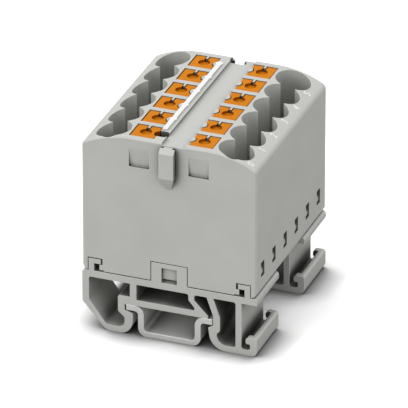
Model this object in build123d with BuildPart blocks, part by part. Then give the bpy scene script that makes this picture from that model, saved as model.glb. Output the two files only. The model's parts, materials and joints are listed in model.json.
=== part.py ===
from build123d import *
import os
from math import sqrt

# Power distribution block: twelve push-in clamping points in one arched housing,
# carried on two feet that clip on a 15 mm top-hat rail.
# Millimetres. X runs across the rail, Y along it, Z up from the rail's underside.
# The housing's front face, with the T-shaped lug, looks towards -Y.

os.makedirs("parts", exist_ok=True)

# Rail
rail_width = 15.0
rail_height = 5.5
rail_sheet = 1.0
rail_channel = 10.9  # across the outside of the webs
rail_inner_bend = 0.6

# Clamping points
rows = 6
pitch = 5.33
front_margin = 3.0  # front face to the first row
back_margin = 3.55  # last row to the back face
button_x = 5.05  # middle of a button, from the centre plane
funnel_x = 10.55  # middle of a wire funnel, from the centre plane

# Housing
housing_width = 30.2
housing_height = 25.65
arch_flat = 13.4  # width of the level top
shoulder_drop = 2.3  # from the level top down to the side walls
shoulder_round = 1.0
rim_chamfer = 0.3  # front and back edges of the arch
side_wall = 0.9  # beside the base cover
end_wall = 1.0
contact_wall = 2.0  # beside the contact chambers
chamber_rib = 0.83  # between neighbouring chambers
base_chamfer = 0.6
rim_gap = 0.18  # between the walls' lower rim and the feet; the cover stands on the feet
cut_over = 1.0  # how far a cut reaches past the surface it starts from
seam = 0.02  # overlap of two cuts that meet

# Wire funnels
funnel_radius = 2.95
funnel_depth = 9.3
funnel_cone = 1.5
lead_in_sides = 6
lead_in_ledge = 0.05
lead_in_radius = 2.5
wire_radius = 1.6
throat_depth = 1.0

# Buttons
button_side = 4.0
button_play = 0.18
button_below_top = 0.1
button_stop_gap = 0.05
flange_height = 1.0
flange_reach = 0.6
flange_width = 3.6
flange_play = 0.5  # beside the flange, towards the centre
nose_thickness = 1.4
nose_flat = 0.5
nose_width = 2.4
nose_offset = 1.2  # from the button's middle, away from the centre plane
hollow_radius = 1.0  # in the edge that faces the centre
hollow_depth = 0.6
slot_width = 0.7  # in the edge that faces the back
slot_depth = 0.9
pit_radius = 1.0
pit_depth = 0.45

# Centre of the top face
band_left = -1.2
band_depth = 0.45
groove_x = -2.35
groove_width = 0.6
groove_depth = 0.8
groove_front = 4.3  # front face to the groove
groove_back = 3.1  # groove to the back face
pocket_front = 1.95  # front face to the pocket beside the first left button
pocket_length = 2.0
pocket_depth = 2.6
pocket_round = 0.6

# Marker strip
strip_play = 0.05
strip_width = 0.8
strip_above_top = 0.25
strip_lobe_radius = 0.65
strip_lobe_sides = 6

# T-shaped lug in front, T-shaped slot behind it for the next block
lug_head_width = 2.5
lug_neck_width = 1.5
lug_reach = 1.4
lug_neck_length = 0.6
lug_below_top = 0.6
lug_length = 7.7
lug_taper = 2.5
lug_tip_width = 0.9
lug_chamfer = 0.7
lug_root = 0.2  # how far the lug runs into the front wall
lug_play = 0.12

# Sloped recesses beside the lug
ramp_x = 5.15
ramp_width = 3.5
ramp_bottom = 5.25  # below the top
ramp_height = 3.4
ramp_depth = 0.45

# Base cover
cover_height = 3.5
cover_play = 0.1
tooth_root = 2.9  # cover's tooth root, in from the side wall
tooth_reach = 0.85
tooth_low = 0.35
tooth_high = 1.35
latch_rail = 0.9  # thickness of the upright strip that carries the snap noses
latch_height = 2.15
latch_play = 0.2  # above the upright strip
window_width = 1.6
window_height = 2.7
window_low = 2.9
latch_nose_width = 1.3
latch_nose_reach = 0.7
latch_nose_root = 0.2
latch_nose_height = 2.1
latch_nose_flat = 0.6
nub_low = 0.55
nub_height = 2.0
nub_reach = 0.6

# Feet
foot_height = 10.65
foot_length = 10.4
foot_plate = 1.2
foot_overlap = 0.1  # foot beyond the housing's side
foot_chamfer = 0.35
foot_wall = 1.15
foot_floor = 1.1
foot_web = 1.1
foot_round = 0.4
rail_play = 0.3
rail_latch_play = 0.16
hook_gap = 0.12  # between a flange and the hook under it
hook_undercut = 1.05  # how far the fixed hook reaches under the flange
hook_slope = 0.35
hook_thickness = 1.35
hook_nose_round = 2.4
hook_cell_round = 1.15  # hook's hollow side
hook_nose_lean = 0.3  # hook's lower corner, beyond its tip
hook_length = 8.9  # along the rail
left_knee = 4.85
left_slope_run = 4.2
left_slope_round = 2.0
left_knee_round = 1.0
left_cell_round = 1.0
post_inset = 0.65  # left post, from the rail's edge inwards
post_width = 1.13
strut_foot_inset = 0.75  # strut's foot, from the rail's edge inwards
strut_head_inset = 3.15
strut_foot_rise = 0.55
strut_head_drop = 0.95
strut_bend_drop = 1.1
strut_cell_head = 4.15  # centre cell's top right corner, from the rail's edge inwards
strut_cell_foot = 3.1
strut_cell_rise = 0.5
latch_lean = 1.15  # latch's top end, towards the centre
latch_bend_rise = 0.65  # latch's bend, above the rail
latch_undercut = 0.85
latch_slope = 0.45
latch_nose_round = 3.0
latch_bend_round = 0.8
latch_nose_lean = 0.45
latch_throat = 0.55  # inner step of the latch towards its nose
latch_step_round = 0.2
leg_inset = 3.65  # leg's inner face, from the foot's right side
leg_wall = 1.0
lever_wall = 1.15
lever_height = 3.35
lever_round = 0.9
lever_top_round = 0.45
catch_reach = 0.75  # catch at each end of the lever
catch_low = 2.15
catch_chamfer = 0.35
catch_length = 0.95
tongue_stem = 0.95
tongue_bar = 2.1
tongue_low = 1.4
tongue_height = 0.85
tongue_play = 0.15
tongue_end_play = 0.35  # beyond the tongue's tip
tongue_top_play = 0.2
tab_width = 6.2
tab_height = 3.55
tab_thickness = 0.9
tab_play = 0.15
tab_window_width = 2.7
tab_window_height = 2.75

# Busbar and springs
bar_sheet = 1.0
bar_play = 0.1
bar_inner_bend = 0.4
contact_height = 7.8
contact_width = 4.0
spring_sheet = 0.4
spring_width = 3.6
spring_heel_x = 3.4
spring_foot = 4.6
spring_heel_bend = 0.6
spring_top_bend = 0.8
spring_corner = 6.25  # sharp corner of the bend, above the busbar
spring_tip = 1.65  # clamping end, above the busbar
spring_gap = 0.1

# Worked-out sizes and places
depth = front_margin + (rows - 1) * pitch + back_margin
front = -depth / 2
back = depth / 2
half_width = housing_width / 2
base = foot_height
rim = base + rim_gap
top = base + housing_height
row_y = [front + front_margin + i * pitch for i in range(rows)]
chamber_top = top - funnel_depth - funnel_cone - throat_depth
chamber_inner = button_x - button_side / 2 - flange_reach - flange_play
chamber_outer = half_width - contact_wall
chamber_width = pitch - chamber_rib
cover_top = base + cover_height
bar_top = cover_top + bar_sheet
contact_outer = chamber_outer - bar_play
contact_inner = contact_outer - bar_sheet
bay_half = half_width - side_wall
bay_length = depth - 2 * end_wall
cover_length = bay_length - 2 * cover_play
foot_half = half_width + foot_overlap
button_top = top - button_below_top
well_edge = button_x - button_side / 2 - button_play
band_right = well_edge
sides = {"l": -1, "r": 1}
points = [(side, number, y) for side in sides.values() for number, y in enumerate(row_y)]


def rounded_outline(corners):
    """Closed outline through corners given as (x, z, radius)."""
    with BuildSketch() as outline:
        with BuildLine():
            FilletPolyline([(x, z) for x, z, _ in corners], radius=[r for _, _, r in corners], close=True)
        make_face()
    return outline.sketch


def tongue_slot(side):
    """Space for a foot's L-shaped tongue, open below, on one side of the base."""
    root = bay_half - tooth_root
    tip = root + tooth_reach
    shelf = bay_half - tongue_play - tongue_bar - tongue_end_play
    ceiling = base + tongue_low + tongue_height + tongue_top_play
    with BuildSketch() as outline:
        with BuildLine():
            Polyline(
                (side * root, base - cut_over),
                (side * root, base + tooth_low),
                (side * tip, base + tooth_low),
                (side * tip, base + tooth_high - cover_play / 2),
                (side * shelf, base + tooth_high - cover_play / 2),
                (side * shelf, ceiling),
                (side * bay_half, ceiling),
                (side * bay_half, base - cut_over),
                close=True,
            )
        make_face()
    return outline.sketch


def button_outline(side, play, notched=True):
    """Plan of a button; its hollow edge faces the centre plane."""
    half = button_side / 2 + play
    with BuildSketch() as outline:
        Rectangle(2 * half, 2 * half)
        if notched:
            hollow_x = button_side / 2 + hollow_radius - hollow_depth
            with Locations((-side * hollow_x, 0)):
                Circle(hollow_radius - play, mode=Mode.SUBTRACT)
        slot_low = button_side / 2 - slot_depth + play
        slot_high = half + cut_over
        with Locations((0, (slot_low + slot_high) / 2)):
            Rectangle(slot_width - 2 * play, slot_high - slot_low, mode=Mode.SUBTRACT)
    return outline.sketch


# T-shaped lug: side view first, then its pointed front view, then the neck
with BuildPart() as lug:
    lug_top = top - lug_below_top
    lug_low = lug_top - lug_length
    lug_half = lug_head_width / 2
    with BuildSketch(Plane.YZ.offset(-lug_half)):
        with BuildLine():
            Polyline(
                (front + lug_root, lug_top),
                (front - lug_reach + lug_chamfer, lug_top),
                (front - lug_reach, lug_top - lug_chamfer),
                (front - lug_reach, lug_low + lug_taper),
                (front, lug_low),
                (front + lug_root, lug_low),
                close=True,
            )
        make_face()
    extrude(amount=lug_head_width)
    with BuildSketch(Plane.XZ.offset(-front - cut_over)):
        with BuildLine():
            Polyline(
                (-lug_half, lug_top),
                (lug_half, lug_top),
                (lug_half, lug_low + lug_taper),
                (lug_tip_width / 2, lug_low),
                (-lug_tip_width / 2, lug_low),
                (-lug_half, lug_low + lug_taper),
                close=True,
            )
        make_face()
    extrude(amount=lug_reach + 2 * cut_over, mode=Mode.INTERSECT)
    with BuildSketch(Plane.XY.offset(lug_low - cut_over)):
        cheek = (lug_head_width - lug_neck_width) / 2
        with Locations((0, front - lug_neck_length / 2)):
            with GridLocations(lug_neck_width + cheek, 0, 2, 1):
                Rectangle(cheek, lug_neck_length)
    extrude(amount=lug_length + 2 * cut_over, mode=Mode.SUBTRACT)


# Six-sided taper between a funnel's floor and its throat
with BuildPart() as lead_in:
    with BuildSketch(Plane.XY.offset(top - funnel_depth - funnel_cone)):
        RegularPolygon(lead_in_radius, lead_in_sides, major_radius=False)
    extrude(amount=funnel_cone + seam)
    lead_in_floor = lead_in.faces().sort_by(Axis.Z)[0]
    lead_in_run = lead_in_radius - wire_radius - lead_in_ledge
    chamfer(lead_in_floor.edges(), length=lead_in_run, length2=funnel_cone, reference=lead_in_floor)


# Housing: arched shell, closed on top, open below for contacts and cover
with BuildPart() as housing:
    with BuildSketch(Plane.XZ.offset(-back)) as arch:
        with BuildLine():
            flat = arch_flat / 2
            shoulder = top - shoulder_drop
            Line((-flat, top), (flat, top))
            TangentArc((flat, top), (half_width, shoulder), tangent=(1, 0))
            Polyline((half_width, shoulder), (half_width, rim), (-half_width, rim), (-half_width, shoulder))
            TangentArc((-flat, top), (-half_width, shoulder), tangent=(-1, 0))
        make_face()
        chamfer(arch.vertices().group_by(Axis.Y)[0], length=base_chamfer)
        fillet(arch.vertices().group_by(Axis.Y)[2], radius=shoulder_round)
    extrude(amount=depth)
    rims = housing.faces().filter_by(Axis.Y).edges()
    chamfer(rims.filter_by_position(Axis.Z, shoulder - shoulder_round, top + cut_over), length=rim_chamfer)

    # Space for the cover, its snap rails and the busbar, in one stepped cut
    with BuildSketch(Plane.XZ.offset(-bay_length / 2)):
        with Locations((0, base + (cover_height + cover_play / 2) / 2)):
            Rectangle(2 * bay_half, cover_height + cover_play / 2)
        with Locations((0, cover_top + latch_height / 2)):
            channel = latch_rail + 2 * cover_play
            with GridLocations(2 * bay_half - channel, 0, 2, 1):
                Rectangle(channel, latch_height + 2 * latch_play)
        with Locations((0, cover_top + bar_sheet)):
            Rectangle(2 * chamber_outer, 2 * bar_sheet)
    extrude(amount=bay_length, mode=Mode.SUBTRACT)

    # One contact chamber for each point
    chamber_length = chamber_outer - chamber_inner
    with BuildSketch(Plane.XY.offset(bar_top)):
        with Locations([(side * (chamber_inner + chamber_length / 2), y) for side, _, y in points]):
            Rectangle(chamber_length, chamber_width)
    extrude(amount=chamber_top - bar_top, mode=Mode.SUBTRACT)

    # Button wells; the front left one has no rib in its hollow
    with BuildSketch(Plane.XY.offset(chamber_top - seam)):
        for side, number, y in points:
            with Locations((side * button_x, y)):
                add(button_outline(side, button_play, side > 0 or number > 0))
    extrude(amount=top - chamber_top + cut_over, mode=Mode.SUBTRACT)

    # Wire funnels, which run into each other, then a tapered lead-in and a throat in each
    funnel_spots = [(side * funnel_x, y) for side, _, y in points]
    with BuildSketch(Plane.XY.offset(top - funnel_depth)):
        with Locations(funnel_spots):
            Circle(funnel_radius)
    extrude(amount=funnel_depth + cut_over, mode=Mode.SUBTRACT)
    with Locations([(x, y, 0) for x, y in funnel_spots]):
        add(lead_in.part, mode=Mode.SUBTRACT)
    with BuildSketch(Plane.XY.offset(chamber_top - seam)):
        with Locations(funnel_spots):
            Circle(wire_radius)
    extrude(amount=throat_depth + 2 * seam, mode=Mode.SUBTRACT)

    # Sunk centre band, groove of the marker strip, pocket beside the first left button
    with BuildSketch(Plane.XY.offset(top - band_depth)):
        with Locations(((band_left + band_right) / 2, 0)):
            Rectangle(band_right - band_left, depth + cut_over)
    extrude(amount=band_depth + cut_over, mode=Mode.SUBTRACT)
    groove_length = depth - groove_front - groove_back
    groove_y = front + groove_front + groove_length / 2
    with BuildSketch(Plane.XY.offset(top - groove_depth)):
        with Locations((groove_x, groove_y)):
            Rectangle(groove_width, groove_length)
    extrude(amount=groove_depth + cut_over, mode=Mode.SUBTRACT)
    with BuildSketch(Plane.XY.offset(top - pocket_depth)) as pocket:
        pocket_left = -well_edge - button_play
        with Locations(((pocket_left + band_left) / 2, front + pocket_front + pocket_length / 2)):
            Rectangle(band_left - pocket_left, pocket_length)
        fillet(pocket.vertices().group_by(Axis.X)[-1], radius=pocket_round)
    extrude(amount=pocket_depth + cut_over, mode=Mode.SUBTRACT)

    # T-shaped slot in the back face, open above
    slot_bottom = lug_low - lug_play
    with BuildSketch(Plane.XY.offset(slot_bottom)):
        with Locations((0, back - lug_reach / 2)):
            Rectangle(lug_neck_width + 2 * lug_play, lug_reach + 2 * lug_play)
        head_depth = lug_reach - lug_neck_length + 2 * lug_play
        with Locations((0, back - lug_neck_length + lug_play - head_depth / 2)):
            Rectangle(lug_head_width + 2 * lug_play, head_depth)
    extrude(amount=top - slot_bottom + cut_over, mode=Mode.SUBTRACT)

    # Slots for the feet's tongues and notches for their tabs, through both end walls
    with BuildSketch(Plane.XZ.offset(-back - cut_over)):
        for side in sides.values():
            add(tongue_slot(side))
        with Locations((0, base + (tab_height + tab_play - cut_over) / 2)):
            Rectangle(tab_width + 2 * tab_play, tab_height + tab_play + cut_over)
    extrude(amount=depth + 2 * cut_over, mode=Mode.SUBTRACT)

    # Windows in the side walls for the cover's snap noses
    for side in sides.values():
        with BuildSketch(Plane.YZ.offset(side * (half_width - side_wall / 2))):
            with Locations([(y, base + window_low + window_height / 2) for y in row_y]):
                Rectangle(window_width, window_height)
        extrude(amount=side_wall, both=True, mode=Mode.SUBTRACT)

    # Sloped recesses, deepest at their lower edge
    with BuildSketch(Plane.YZ):
        ramp_z = top - ramp_bottom
        with BuildLine():
            Polyline(
                (front - cut_over, ramp_z),
                (front + ramp_depth, ramp_z),
                (front, ramp_z + ramp_height),
                (front - cut_over, ramp_z + ramp_height),
                close=True,
            )
        make_face()
    ramp_cut = extrude(amount=ramp_width / 2, both=True, mode=Mode.PRIVATE)
    with Locations((-ramp_x, 0, 0), (ramp_x, 0, 0)):
        add(ramp_cut, mode=Mode.SUBTRACT)

    add(lug.part)
housing.part.label = "housing"
export_step(housing.part, "parts/housing.step")


# Base cover: closes the housing from below, snaps into its side windows
with BuildPart() as base_cover:
    cover_half = bay_half - cover_play / 2
    with BuildSketch(Plane.XZ.offset(-cover_length / 2)):
        with Locations((0, base + cover_height / 2)):
            Rectangle(2 * cover_half, cover_height)
        with Locations((0, cover_top + latch_height / 2)):
            with GridLocations(2 * cover_half - latch_rail, 0, 2, 1):
                Rectangle(latch_rail, latch_height)
        for side in sides.values():
            add(tongue_slot(side), mode=Mode.SUBTRACT)
    extrude(amount=cover_length)

    # Snap noses, sloped on top so that they slide in past the wall
    nose_low = base + window_low + (window_height - latch_nose_height) / 2
    nose_root = cover_half - latch_nose_root
    nose_tip = cover_half + latch_nose_reach
    for side in sides.values():
        with BuildSketch(Plane.XZ):
            with BuildLine():
                Polyline(
                    (side * nose_root, nose_low),
                    (side * nose_tip, nose_low),
                    (side * nose_tip, nose_low + latch_nose_flat),
                    (side * cover_half, nose_low + latch_nose_height),
                    (side * nose_root, nose_low + latch_nose_height),
                    close=True,
                )
            make_face()
        latch_nose_part = extrude(amount=latch_nose_width / 2, both=True, mode=Mode.PRIVATE)
        with Locations([(0, y, 0) for y in row_y]):
            add(latch_nose_part)

    # Nubs that the tabs of the feet snap over
    with BuildSketch(Plane.XY.offset(base + nub_low)):
        Rectangle(tab_window_width - 2 * cover_play, cover_length + 2 * nub_reach)
    extrude(amount=nub_height)
base_cover.part.label = "base_cover"
export_step(base_cover.part, "parts/base_cover.step")


# Busbar: one bent strip, with an upright contact wall for each point
with BuildPart() as busbar:
    bar_length = (rows - 1) * pitch + contact_width
    bar_y = (row_y[0] + row_y[-1]) / 2
    contact_top = bar_top + contact_height
    bar_outer_bend = bar_inner_bend + bar_sheet
    with BuildSketch(Plane.XZ.offset(-bar_y - bar_length / 2)):
        add(
            rounded_outline(
                [
                    (-contact_outer, contact_top, 0),
                    (-contact_outer, cover_top, bar_outer_bend),
                    (contact_outer, cover_top, bar_outer_bend),
                    (contact_outer, contact_top, 0),
                    (contact_inner, contact_top, 0),
                    (contact_inner, bar_top, bar_inner_bend),
                    (-contact_inner, bar_top, bar_inner_bend),
                    (-contact_inner, contact_top, 0),
                ]
            )
        )
    extrude(amount=bar_length)
    with BuildSketch(Plane.XY.offset(bar_top + bar_inner_bend)):
        with Locations((0, bar_y)):
            with GridLocations(0, pitch, 1, rows - 1):
                Rectangle(2 * contact_outer + cut_over, pitch - contact_width)
    extrude(amount=contact_height, mode=Mode.SUBTRACT)
busbar.part.label = "busbar"
export_step(busbar.part, "parts/busbar.step")


# Clamping springs: a folded strip standing on the busbar, its long leg against the contact wall
spring_rise = spring_corner - spring_tip
spring_run = contact_inner - spring_gap - spring_sheet / 2 - spring_heel_x
spring_slope = spring_rise / spring_run
spring_floor = bar_top + spring_sheet / 2
spring_crest = bar_top + spring_corner
spring_path = [
    (spring_heel_x + spring_foot, spring_floor),
    (spring_heel_x + spring_heel_bend, spring_floor),
    (spring_heel_x, spring_floor + spring_heel_bend),
    (spring_heel_x, spring_crest - spring_top_bend),
    (spring_heel_x + spring_top_bend, spring_crest - spring_slope * spring_top_bend),
    (spring_heel_x + spring_run, bar_top + spring_tip),
]
for letter, side in sides.items():
    for number, y in enumerate(row_y, start=1):
        with BuildPart() as spring:
            with BuildSketch(Plane.XZ.offset(-y - spring_width / 2)):
                with BuildLine():
                    Polyline([(side * x, z) for x, z in spring_path])
                trace(line_width=spring_sheet)
            extrude(amount=spring_width)
        spring.part.label = f"spring_{letter}{number}"
        export_step(spring.part, f"parts/spring_{letter}{number}.step")


# Push buttons: guided in the housing's wells, held by a flange below, nose on the spring
nose_x = button_x + nose_offset
leg_z = spring_crest - spring_slope * (nose_x - spring_heel_x)
leg_top = leg_z + spring_sheet / 2 * sqrt(1 + spring_slope**2)
nose_z = leg_top + spring_gap + spring_slope * nose_flat / 2
nose_side_z = nose_z + (nose_thickness - nose_flat) / 2
shaft_low = chamber_top - button_stop_gap
nose_top = shaft_low - flange_height / 2
flange_mid = button_x - flange_reach / 2
for letter, side in sides.items():
    for number, y in enumerate(row_y, start=1):
        with BuildPart() as button:
            with BuildSketch(Plane.XY.offset(shaft_low)):
                with Locations((side * button_x, y)):
                    add(button_outline(side, 0))
            extrude(amount=button_top - shaft_low)
            # Pit for the screwdriver's tip, open to the slot behind it
            with BuildSketch(Plane.XY.offset(button_top - pit_depth)):
                with Locations((side * button_x, y)):
                    Circle(pit_radius)
                with Locations((side * button_x, y + button_side / 4)):
                    Rectangle(slot_width, button_side / 2)
            extrude(amount=pit_depth + cut_over, mode=Mode.SUBTRACT)
            # Flange below the well, then the nose that pushes the spring
            with BuildSketch(Plane.XY.offset(shaft_low - flange_height)):
                with Locations((side * flange_mid, y)):
                    Rectangle(button_side + flange_reach, flange_width)
            extrude(amount=flange_height)
            with BuildSketch(Plane.XZ.offset(-y - nose_width / 2)):
                with BuildLine():
                    Polyline(
                        (side * nose_x - nose_thickness / 2, nose_top),
                        (side * nose_x - nose_thickness / 2, nose_side_z),
                        (side * nose_x - nose_flat / 2, nose_z),
                        (side * nose_x + nose_flat / 2, nose_z),
                        (side * nose_x + nose_thickness / 2, nose_side_z),
                        (side * nose_x + nose_thickness / 2, nose_top),
                        close=True,
                    )
                make_face()
            extrude(amount=nose_width)
        button.part.label = f"button_{letter}{number}"
        export_step(button.part, f"parts/button_{letter}{number}.step")


# Marker strip: stem in the groove, ridge on the surface with a lobe beside each marked row
with BuildPart() as marker_strip:
    strip_length = groove_length - 2 * strip_play
    with BuildSketch(Plane.XY.offset(top - groove_depth)):
        with Locations((groove_x, groove_y)):
            Rectangle(groove_width - 2 * strip_play, strip_length)
    extrude(amount=groove_depth)
    with BuildSketch(Plane.XY.offset(top)):
        with Locations((groove_x, groove_y)):
            Rectangle(strip_width, strip_length)
        with Locations([(groove_x, y) for y in row_y[1:]]):
            RegularPolygon(strip_lobe_radius, strip_lobe_sides)
    extrude(amount=strip_above_top)
marker_strip.part.label = "marker_strip"
export_step(marker_strip.part, "parts/marker_strip.step")


# Feet: thin-walled profile with a fixed hook, a springy latch and a release lever
with BuildPart() as foot_front:
    edge = rail_width / 2
    seat = rail_height
    under = rail_height - rail_sheet - hook_gap
    ceiling = foot_height - foot_plate
    hook_x = edge + rail_play
    hook_tip = hook_x - hook_undercut - hook_nose_lean
    latch_x = edge + rail_latch_play
    latch_tip = latch_x - latch_undercut
    leg_x = foot_half - leg_inset
    lever_x = foot_half - lever_wall
    # Two roundings that end where the wall beside them ends
    sole_length = foot_half - left_slope_run - hook_tip
    hook_round = min(hook_nose_round, sole_length - left_slope_round)
    latch_cell_x = latch_x + foot_wall - latch_throat
    latch_cell_height = under - hook_thickness - foot_floor
    latch_cell_round = min(latch_cell_height - latch_step_round, leg_x - latch_cell_x - foot_round)
    foot_outline = [
        (-foot_half, foot_height - foot_chamfer, 0),
        (-foot_half, left_knee, left_knee_round),
        (-foot_half + left_slope_run, 0, left_slope_round),
        (-hook_tip, 0, hook_round),
        (-hook_x + hook_undercut + hook_slope, under - hook_slope, 0),
        (-hook_x, under, 0),
        (-hook_x, seat, 0),
        (edge - strut_foot_inset, seat, 0),
        (edge - strut_foot_inset, seat + strut_foot_rise, 0),
        (edge - strut_head_inset, ceiling - strut_head_drop, 0),
        (edge - strut_head_inset, ceiling, foot_round),
        (latch_x - latch_lean, ceiling, 0),
        (latch_x, seat + latch_bend_rise, 0),
        (latch_x, under, 0),
        (latch_tip, under - latch_slope, 0),
        (latch_tip + latch_nose_lean, 0, latch_nose_round),
        (foot_half, 0, lever_round),
        (foot_half, lever_height, lever_top_round),
        (lever_x, lever_height, lever_top_round),
        (lever_x, foot_floor, foot_round),
        (leg_x + leg_wall, foot_floor, foot_round),
        (leg_x + leg_wall, ceiling, 0),
        (foot_half, ceiling, 0),
        (foot_half, foot_height - foot_chamfer, 0),
        (foot_half - foot_chamfer, foot_height, 0),
        (-foot_half + foot_chamfer, foot_height, 0),
    ]
    left_cell = [
        (-foot_half + foot_wall, ceiling, foot_round),
        (-edge + post_inset, ceiling, 0),
        (-edge + post_inset, seat + foot_web + foot_round, 0),
        (-hook_x - foot_wall, seat + foot_web + foot_round, foot_round),
        (-hook_x - foot_wall, under - hook_slope, foot_round),
        (-hook_x, under - hook_thickness, foot_round),
        (-hook_x, foot_floor, hook_cell_round),
        (-foot_half + left_slope_run, foot_floor, left_cell_round),
        (-foot_half + foot_wall, left_knee + foot_round, foot_round),
    ]
    centre_cell = [
        (-edge + post_inset + post_width, ceiling, 0),
        (edge - strut_cell_head, ceiling, foot_round),
        (edge - strut_cell_head, ceiling - strut_bend_drop, foot_round),
        (edge - strut_cell_foot, seat + foot_web + strut_cell_rise, 0),
        (edge - strut_cell_foot, seat + foot_web, 0),
        (-edge + post_inset + post_width, seat + foot_web, 0),
    ]
    right_cell = [
        (latch_x - latch_lean + foot_wall, ceiling, 0),
        (latch_x + foot_wall, seat + latch_bend_rise, latch_bend_round),
        (latch_x + foot_wall, under - hook_thickness + latch_throat, latch_step_round),
        (latch_cell_x, under - hook_thickness, latch_step_round),
        (latch_cell_x, foot_floor, latch_cell_round),
        (leg_x, foot_floor, foot_round),
        (leg_x, ceiling, foot_round),
    ]
    with BuildSketch(Plane.XZ.offset(-front - foot_length)):
        add(rounded_outline(foot_outline))
        for cell in (left_cell, centre_cell, right_cell):
            add(rounded_outline(cell), mode=Mode.SUBTRACT)
        # Tongues that hook into the housing's base
        stem_x = bay_half - tongue_play
        stem_height = tongue_low + tongue_height
        with Locations((0, base + stem_height / 2)):
            with GridLocations(2 * stem_x - tongue_stem, 0, 2, 1):
                Rectangle(tongue_stem, stem_height)
        with Locations((0, base + tongue_low + tongue_height / 2)):
            with GridLocations(2 * stem_x - tongue_bar, 0, 2, 1):
                Rectangle(tongue_bar, tongue_height)
    extrude(amount=foot_length)

    # The fixed hook is shorter than the rest of the foot
    with BuildSketch(Plane.XZ.offset(-front - foot_length)):
        with BuildLine():
            Polyline(
                (-foot_half - cut_over, -cut_over),
                (-hook_tip + cut_over, -cut_over),
                (-hook_tip + cut_over, under),
                (-edge + post_inset, under),
                (-edge + post_inset, ceiling),
                (-foot_half - cut_over, ceiling),
                close=True,
            )
        make_face()
    extrude(amount=foot_length - hook_length, mode=Mode.SUBTRACT)

    # Catch at each end of the lever
    with BuildSketch(Plane.XZ.offset(-front - foot_length), Plane.XZ.offset(-front - catch_length)):
        with BuildLine():
            catch_tip = lever_x - catch_reach
            Polyline(
                (lever_x + lever_wall / 2, lever_height),
                (catch_tip + catch_chamfer, lever_height),
                (catch_tip, lever_height - catch_chamfer),
                (catch_tip, catch_low + catch_chamfer / 2),
                (catch_tip + catch_chamfer / 2, catch_low),
                (lever_x + lever_wall / 2, catch_low),
                close=True,
            )
        make_face()
    extrude(amount=catch_length)

    # Tab with a window, flush with the housing's front face
    with BuildSketch(Plane.XZ.offset(-front)):
        with Locations((0, base + (tab_height - foot_plate) / 2)):
            Rectangle(tab_width, tab_height + foot_plate)
        with Locations((0, base + tab_window_height / 2)):
            Rectangle(tab_window_width, tab_window_height, mode=Mode.SUBTRACT)
    extrude(amount=-tab_thickness)
foot_front.part.label = "foot_front"
export_step(foot_front.part, "parts/foot_front.step")

with BuildPart() as foot_back:
    add(foot_front.part.mirror(Plane.XZ))
foot_back.part.label = "foot_back"
export_step(foot_back.part, "parts/foot_back.step")


# Mounting rail: bent steel strip, a short length that reaches through both feet
with BuildPart() as mounting_rail:
    web_outer = rail_channel / 2
    web_inner = web_outer - rail_sheet
    rail_outer_bend = rail_inner_bend + rail_sheet
    with BuildSketch(Plane.XZ.offset(-back)):
        add(
            rounded_outline(
                [
                    (-edge, rail_height, 0),
                    (-web_inner, rail_height, rail_outer_bend),
                    (-web_inner, rail_sheet, rail_inner_bend),
                    (web_inner, rail_sheet, rail_inner_bend),
                    (web_inner, rail_height, rail_outer_bend),
                    (edge, rail_height, 0),
                    (edge, rail_height - rail_sheet, 0),
                    (web_outer, rail_height - rail_sheet, rail_inner_bend),
                    (web_outer, 0, rail_outer_bend),
                    (-web_outer, 0, rail_outer_bend),
                    (-web_outer, rail_height - rail_sheet, rail_inner_bend),
                    (-edge, rail_height - rail_sheet, 0),
                ]
            )
        )
    extrude(amount=depth)
mounting_rail.part.label = "mounting_rail"
export_step(mounting_rail.part, "parts/mounting_rail.step")
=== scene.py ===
import json
import math

import bpy
from mathutils import Matrix, Vector


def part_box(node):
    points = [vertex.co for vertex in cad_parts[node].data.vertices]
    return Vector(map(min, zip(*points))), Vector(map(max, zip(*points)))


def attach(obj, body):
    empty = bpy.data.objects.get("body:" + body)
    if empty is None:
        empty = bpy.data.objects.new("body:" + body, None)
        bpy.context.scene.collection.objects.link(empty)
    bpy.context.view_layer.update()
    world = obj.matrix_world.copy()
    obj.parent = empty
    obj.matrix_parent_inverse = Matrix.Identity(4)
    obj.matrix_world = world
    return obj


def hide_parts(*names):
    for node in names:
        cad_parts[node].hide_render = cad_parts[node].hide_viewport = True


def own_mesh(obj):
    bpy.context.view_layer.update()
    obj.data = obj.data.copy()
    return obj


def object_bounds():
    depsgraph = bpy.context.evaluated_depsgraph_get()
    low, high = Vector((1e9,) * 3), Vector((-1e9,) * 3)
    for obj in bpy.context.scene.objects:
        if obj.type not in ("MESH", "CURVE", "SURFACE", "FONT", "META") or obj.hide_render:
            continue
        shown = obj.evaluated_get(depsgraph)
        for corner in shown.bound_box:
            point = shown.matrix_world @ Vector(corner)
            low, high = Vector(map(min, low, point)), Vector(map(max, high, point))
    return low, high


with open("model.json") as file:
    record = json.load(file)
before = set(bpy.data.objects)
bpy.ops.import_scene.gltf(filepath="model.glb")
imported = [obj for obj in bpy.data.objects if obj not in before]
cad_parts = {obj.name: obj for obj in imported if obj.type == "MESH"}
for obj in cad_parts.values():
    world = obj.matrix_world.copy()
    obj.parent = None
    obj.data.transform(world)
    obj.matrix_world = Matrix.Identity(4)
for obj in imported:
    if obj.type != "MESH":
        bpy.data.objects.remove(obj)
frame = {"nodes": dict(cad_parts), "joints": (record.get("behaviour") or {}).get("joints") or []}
cad_low, cad_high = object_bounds()

MM = 0.001

# Camera: fitted to points read off the photograph, then elevation and aim set from renders
IMAGE_SIDE = 408  # pixels
VIEW_AZIMUTH = math.radians(20.61)
VIEW_ELEVATION = math.radians(27.8)
VIEW_DISTANCE = 1141.5 * MM
PIXELS_PER_MM = 6.098  # at the target
VIEW_TARGET = Vector((0, -1.0, 18.0)) * MM
TARGET_PIXEL = (202.85, 202.4)
SENSOR_WIDTH = 36.0  # millimetres, as Blender takes it

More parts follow.
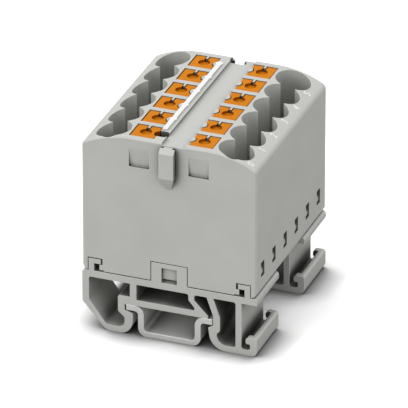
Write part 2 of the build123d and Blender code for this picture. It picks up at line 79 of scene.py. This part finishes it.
# Floor: its brightness for the camera, and for all other rays, mirrored ones too
FLOOR_SIDE = 4.0  # metres
FLOOR_SEEN = 1.25
FLOOR_BOUNCE = 0.35

# Contact shade painted on the floor: its reach, the way it leans, and its contrast
FLOOR_CONTACT = 5.0 * MM
FLOOR_LEAN = (-0.33, 0.4, 0.855)
FLOOR_CURVE = ((0.0, 0.0), (0.5, 0.26), (0.8, 0.71), (1.0, 1.0))

# Shadow painted between the feet as a dark patch: middle, half lengths and soft edge in millimetres
UNDER_MIDDLE = (-2.9, 0.0)
UNDER_HALF = (11.8, 5.7)
UNDER_SOFT = 0.9
UNDER_LEVEL = 0.05

SKY_STRENGTH = 0.92

# Painted shade on surfaces: deep hollows and narrow gaps are painted darker, shallow steps stay as
# they are
HOLLOW = 4.5 * MM
HOLLOW_CURVE = ((0.0, 0.08), (0.5, 0.19), (0.8, 0.84), (1.0, 1.0))
GAP = 0.35 * MM
GAP_CURVE = ((0.0, 0.0), (0.4, 0.05), (0.62, 0.9), (1.0, 1.0))
CLOUD_SCALE = 130.0  # patches of uneven colour in a metre
ROUGHNESS_SPREAD = 0.05
GRAIN_HEIGHT = 0.02 * MM

# Sockets of a colour mix, which share their names with those for numbers
MIX_FIRST, MIX_SECOND, MIX_RESULT = 6, 7, 2

# Numbers printed on the right shoulder, one in front of each funnel
DIGITS = 6
DIGIT_X = 13.8 * MM
DIGIT_AHEAD = 2.05 * MM  # from the middle of a row towards the front
DIGIT_HEIGHT = 1.25 * MM
DIGIT_THICKNESS = 0.03 * MM
TYPE_SIZE = 1.4  # size of the type in heights of a digit
TYPE_WEIGHT = 0.02  # thickening of its strokes in heights of a digit
ARCH_X = 6.7 * MM  # where the level top ends
SHOULDER_DROP = 2.3 * MM  # from the level top down to the side walls


def set_socket(node, name, value):
    node.inputs[name].default_value = value


def openness(material, reach, alone=False):
    """Share of the sky that a surface sees within a reach. With alone, only its own piece hides it."""
    hemisphere = material.node_tree.nodes.new("ShaderNodeAmbientOcclusion")
    hemisphere.samples = 12
    hemisphere.only_local = alone
    set_socket(hemisphere, "Distance", reach)
    return hemisphere


def shaped(material, output, curve):
    """An output bent by a curve of straight lines."""
    nodes, links = material.node_tree.nodes, material.node_tree.links
    contrast = nodes.new("ShaderNodeFloatCurve")
    points = contrast.mapping.curves[0].points
    for place, level in curve[1:-1]:
        points.new(place, level)
    points[0].location, points[-1].location = curve[0], curve[-1]
    for point in points:
        point.handle_type = "VECTOR"
    contrast.mapping.update()
    links.new(output, contrast.inputs["Value"])
    return contrast.outputs["Value"]


def combined(material, operation, first, second):
    """Result of a sum with two values, each of them an output or a number."""
    node = material.node_tree.nodes.new("ShaderNodeMath")
    node.operation = operation
    for socket, value in zip(node.inputs, (first, second)):
        if isinstance(value, float):
            socket.default_value = value
        else:
            material.node_tree.links.new(value, socket)
    return node.outputs[0]


def surface(name, colour, painted_shade_colour, roughness, grain_mm, grain_depth, specular=0.35, tint=0.03,
            edge_mm=0.12, painted_edge_highlight=3.0, metal=0.0, stretch=1.0, alone=False):
    """Moulded plastic or rolled metal: fine grain, which can be drawn out along the rail, a faint
    unevenness of colour, softly rounded edges with a painted highlight along them, and painted
    shade in hollows and gaps, towards a darker colour."""
    material = bpy.data.materials.new(name)
    material.use_nodes = True
    nodes, links = material.node_tree.nodes, material.node_tree.links
    shader = nodes["Principled BSDF"]
    place = nodes.new("ShaderNodeTexCoord")

    cloud = nodes.new("ShaderNodeTexNoise")
    set_socket(cloud, "Scale", CLOUD_SCALE)
    set_socket(cloud, "Detail", 3.0)
    links.new(place.outputs["Object"], cloud.inputs["Vector"])
    ramp = nodes.new("ShaderNodeValToRGB")
    low, high = ramp.color_ramp.elements
    low.position, high.position = 0.3, 0.7
    low.color = tuple(c * (1 - tint) for c in colour) + (1,)
    high.color = tuple(min(1, c * (1 + tint)) for c in colour) + (1,)
    links.new(cloud.outputs["Fac"], ramp.inputs["Fac"])
    grain = nodes.new("ShaderNodeTexNoise")
    set_socket(grain, "Scale", 1.0 / (grain_mm * MM))
    set_socket(grain, "Detail", 2.0)
    rolled = nodes.new("ShaderNodeMapping")
    set_socket(rolled, "Scale", (1, 1 / stretch, 1))
    links.new(place.outputs["Object"], rolled.inputs["Vector"])
    links.new(rolled.outputs["Vector"], grain.inputs["Vector"])
    spread = nodes.new("ShaderNodeMapRange")
    set_socket(spread, "To Min", roughness - ROUGHNESS_SPREAD)
    set_socket(spread, "To Max", roughness + ROUGHNESS_SPREAD)
    links.new(grain.outputs["Fac"], spread.inputs["Value"])
    links.new(spread.outputs["Result"], shader.inputs["Roughness"])

    edge = nodes.new("ShaderNodeBevel")
    edge.samples = 6
    set_socket(edge, "Radius", edge_mm * MM)
    true_normal = nodes.new("ShaderNodeNewGeometry").outputs["True Normal"]
    turn = nodes.new("ShaderNodeVectorMath")
    turn.operation = "DOT_PRODUCT"
    links.new(edge.outputs["Normal"], turn.inputs[0])
    links.new(true_normal, turn.inputs[1])
    bent = combined(material, "SUBTRACT", 1.0, turn.outputs["Value"])
    # Painted shade: the colour goes towards the shade colour in narrow gaps and deep hollows
    near = openness(material, GAP).outputs["AO"]
    far = openness(material, HOLLOW, alone).outputs["AO"]
    wide = combined(material, "DIVIDE", far, near)
    wide.node.use_clamp = True
    hollow = shaped(material, wide, HOLLOW_CURVE)
    open_share = combined(material, "MULTIPLY", hollow, shaped(material, near, GAP_CURVE))
    blend = nodes.new("ShaderNodeMix")
    blend.data_type = "RGBA"
    links.new(open_share, blend.inputs["Factor"])
    set_socket(blend, MIX_FIRST, tuple(painted_shade_colour) + (1,))
    links.new(ramp.outputs["Color"], blend.inputs[MIX_SECOND])
    # Painted highlight: the colour is made lighter along rounded edges, by how far the rounded normal
    # turns
    painted_highlight_factor = combined(material, "MULTIPLY_ADD", bent, painted_edge_highlight)
    painted_highlight_factor.node.inputs[2].default_value = 1.0
    shade = nodes.new("ShaderNodeVectorMath")
    shade.operation = "SCALE"
    links.new(blend.outputs[MIX_RESULT], shade.inputs[0])
    links.new(painted_highlight_factor, shade.inputs["Scale"])
    links.new(shade.outputs[0], shader.inputs["Base Color"])
    bump = nodes.new("ShaderNodeBump")
    set_socket(bump, "Strength", grain_depth)
    set_socket(bump, "Distance", GRAIN_HEIGHT)
    links.new(grain.outputs["Fac"], bump.inputs["Height"])
    links.new(edge.outputs["Normal"], bump.inputs["Normal"])
    links.new(bump.outputs["Normal"], shader.inputs["Normal"])
    set_socket(shader, "Specular IOR Level", specular)
    set_socket(shader, "Metallic", metal)
    return material


# Shade colours that hollows and gaps are painted towards, given second in each material below
BLACK = (0, 0, 0)
GREY = surface("grey_moulded", (0.517, 0.521, 0.493), BLACK, 0.52, 0.12, 0.25)
FOOT_GREY = surface("foot_moulded", (0.517, 0.521, 0.493), BLACK, 0.50, 0.12, 0.25, alone=True)
ORANGE = surface("orange_moulded", (0.604, 0.196, 0.003), (0.22, 0.04, 0.001), 0.42, 0.10, 0.15,
                 specular=0.04, tint=0.04, edge_mm=0.06)
WHITE = surface("white_moulded", (0.80, 0.80, 0.80), (0.3, 0.3, 0.3), 0.45, 0.10, 0.1,
                tint=0.01, edge_mm=0.05)
RAIL = surface("zinc_plated", (0.80, 0.805, 0.78), BLACK, 0.42, 0.12, 0.2, painted_edge_highlight=2.0, metal=0.5,
               stretch=12.0, alone=True)
COPPER = surface("tinned_copper", (0.66, 0.62, 0.56), BLACK, 0.35, 0.15, 0.2, metal=1.0, stretch=12.0)
STEEL = surface("spring_steel", (0.58, 0.58, 0.59), BLACK, 0.28, 0.12, 0.1, metal=1.0, stretch=12.0)


def material_for(node):
    if node.startswith("button_"):
        return ORANGE
    if node.startswith("spring_"):
        return STEEL
    if node.startswith("foot_"):
        return FOOT_GREY
    return {"marker_strip": WHITE, "mounting_rail": RAIL, "busbar": COPPER}.get(node, GREY)


for node, thing in frame["nodes"].items():
    thing.data.materials.clear()
    thing.data.materials.append(material_for(node))

# Copies of the clamping springs, one for each press joint, which take the place of the springs and
# ride on the block
for joint in frame["joints"]:
    name = joint["name"].replace("press_", "spring_")
    spring = frame["nodes"][name].copy()
    spring.data = spring.data.copy()
    spring.name = name + "_flexed"
    bpy.context.collection.objects.link(spring)
    low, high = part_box(name)
    middle = (low + high) / 2
    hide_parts(name)
    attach(spring, "block")
    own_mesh(spring)


# Printed numbers, slightly proud of the arched shoulder
_, housing_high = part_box("housing")
arch_run = housing_high.x - ARCH_X
arch_radius = (arch_run**2 + SHOULDER_DROP**2) / (2 * SHOULDER_DROP)
tilt = math.asin((DIGIT_X - ARCH_X) / arch_radius)
digit_z = housing_high.z - arch_radius * (1 - math.cos(tilt))
for number in range(DIGITS):
    row_low, row_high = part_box(f"button_r{number + 1}")
    digit_y = (row_low.y + row_high.y) / 2 - DIGIT_AHEAD
    letter = bpy.data.curves.new(f"digit_{number}", "FONT")
    letter.body = str(number)
    letter.align_x = letter.align_y = "CENTER"
    letter.size = TYPE_SIZE * DIGIT_HEIGHT
    letter.extrude = DIGIT_THICKNESS
    letter.offset = TYPE_WEIGHT * DIGIT_HEIGHT
    letter.resolution_u = 4
    digit = bpy.data.objects.new(f"digit_{number}", letter)
    bpy.context.collection.objects.link(digit)
    x_axis = Vector((0, 1, 0))
    y_axis = Vector((-math.cos(tilt), 0, math.sin(tilt)))
    z_axis = x_axis.cross(y_axis)
    digit.matrix_world = Matrix((
        (x_axis.x, y_axis.x, z_axis.x, DIGIT_X),
        (x_axis.y, y_axis.y, z_axis.y, digit_y),
        (x_axis.z, y_axis.z, z_axis.z, digit_z),
        (0, 0, 0, 1),
    ))
    letter.materials.append(WHITE)
    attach(digit, "block")


# Floor: white where it is seen, with the lamps' shadows and the two painted shades
bpy.ops.mesh.primitive_plane_add(size=FLOOR_SIDE, location=(0, 0, cad_low.z))
floor = bpy.context.object
floor.name = "floor"
floor_material = bpy.data.materials.new("floor_white")
floor_material.use_nodes = True
floor_shader = floor_material.node_tree.nodes["Principled BSDF"]
floor_nodes, floor_links = floor_material.node_tree.nodes, floor_material.node_tree.links
floor_path = floor_nodes.new("ShaderNodeLightPath")
floor_level = floor_nodes.new("ShaderNodeMapRange")
set_socket(floor_level, "To Min", FLOOR_BOUNCE)
set_socket(floor_level, "To Max", FLOOR_SEEN)
floor_links.new(floor_path.outputs["Is Camera Ray"], floor_level.inputs["Value"])
toward_lamp = floor_nodes.new("ShaderNodeCombineXYZ")
for axis, part in zip("XYZ", FLOOR_LEAN):
    set_socket(toward_lamp, axis, part)
floor_open = openness(floor_material, FLOOR_CONTACT)
floor_links.new(toward_lamp.outputs["Vector"], floor_open.inputs["Normal"])
contact = shaped(floor_material, floor_open.outputs["AO"], FLOOR_CURVE)
floor_place = floor_nodes.new("ShaderNodeSeparateXYZ")
floor_links.new(floor_nodes.new("ShaderNodeNewGeometry").outputs["Position"], floor_place.inputs[0])
outside = []
for axis, middle, half in zip("XY", UNDER_MIDDLE, UNDER_HALF):
    away = combined(floor_material, "SUBTRACT", floor_place.outputs[axis], middle * MM)
    step = floor_nodes.new("ShaderNodeMapRange")
    step.interpolation_type = "SMOOTHSTEP"
    set_socket(step, "From Min", (half - UNDER_SOFT) * MM)
    set_socket(step, "From Max", (half + UNDER_SOFT) * MM)
    floor_links.new(combined(floor_material, "ABSOLUTE", away, 0.0), step.inputs["Value"])
    outside.append(step.outputs["Result"])
shade_under = floor_nodes.new("ShaderNodeMapRange")
set_socket(shade_under, "To Min", UNDER_LEVEL)
floor_links.new(combined(floor_material, "MAXIMUM", *outside), shade_under.inputs["Value"])
floor_shade = combined(floor_material, "MULTIPLY", contact, shade_under.outputs["Result"])
floor_links.new(combined(floor_material, "MULTIPLY", floor_shade, floor_level.outputs["Result"]),
                floor_shader.inputs["Base Color"])
set_socket(floor_shader, "Roughness", 0.9)
set_socket(floor_shader, "Specular IOR Level", 0.1)
floor.data.materials.append(floor_material)

# Sky: soft fill on the object, plain white where it is seen or mirrored
world = bpy.data.worlds.new("studio")
bpy.context.scene.world = world
world.use_nodes = True
sky_nodes, sky_links = world.node_tree.nodes, world.node_tree.links
sky = sky_nodes["Background"]
set_socket(sky, "Color", (1, 1, 1, 1))
path = sky_nodes.new("ShaderNodeLightPath")
seen = sky_nodes.new("ShaderNodeMath")
seen.operation = "MAXIMUM"
sky_links.new(path.outputs["Is Camera Ray"], seen.inputs[0])
sky_links.new(path.outputs["Is Transmission Ray"], seen.inputs[1])
mirrored = sky_nodes.new("ShaderNodeMath")
mirrored.operation = "MAXIMUM"
sky_links.new(seen.outputs[0], mirrored.inputs[0])
sky_links.new(path.outputs["Is Glossy Ray"], mirrored.inputs[1])
level = sky_nodes.new("ShaderNodeMapRange")
set_socket(level, "To Min", SKY_STRENGTH)
set_socket(level, "To Max", 1.0)
sky_links.new(mirrored.outputs[0], level.inputs["Value"])
sky_links.new(level.outputs["Result"], sky.inputs["Strength"])


def softbox(name, place, size, power):
    """A square lamp that faces the middle of the object."""
    data = bpy.data.lights.new(name, "AREA")
    data.size = size
    data.energy = power
    lamp = bpy.data.objects.new(name, data)
    bpy.context.collection.objects.link(lamp)
    lamp.location = place
    aim = VIEW_TARGET - Vector(place)
    lamp.rotation_euler = aim.to_track_quat("-Z", "Y").to_euler()
    return lamp


softbox("top_box", (-0.05, -0.02, 0.9), 0.7, 1.6)
softbox("front_box", (-0.45, -0.85, 0.45), 0.5, 2.4)

# Camera
back = Vector((
    math.sin(VIEW_AZIMUTH) * math.cos(VIEW_ELEVATION),
    -math.cos(VIEW_AZIMUTH) * math.cos(VIEW_ELEVATION),
    math.sin(VIEW_ELEVATION),
))
right = Vector((math.cos(VIEW_AZIMUTH), math.sin(VIEW_AZIMUTH), 0))
up = back.cross(right)
camera_data = bpy.data.cameras.new("camera")
camera_data.sensor_width = SENSOR_WIDTH
camera_data.lens = PIXELS_PER_MM * (VIEW_DISTANCE / MM) * SENSOR_WIDTH / IMAGE_SIDE
camera_data.clip_start = 0.05
camera_data.clip_end = 20
camera = bpy.data.objects.new("camera", camera_data)
bpy.context.collection.objects.link(camera)
middle = IMAGE_SIDE / 2
sideways = (TARGET_PIXEL[0] - middle) / PIXELS_PER_MM * MM
upwards = (middle - TARGET_PIXEL[1]) / PIXELS_PER_MM * MM
camera.matrix_world = Matrix((
    (right.x, up.x, back.x, 0),
    (right.y, up.y, back.y, 0),
    (right.z, up.z, back.z, 0),
    (0, 0, 0, 1),
))
camera.location = VIEW_TARGET + back * VIEW_DISTANCE - right * sideways - up * upwards
bpy.context.scene.camera = camera

bpy.context.scene.view_settings.view_transform = "Standard"
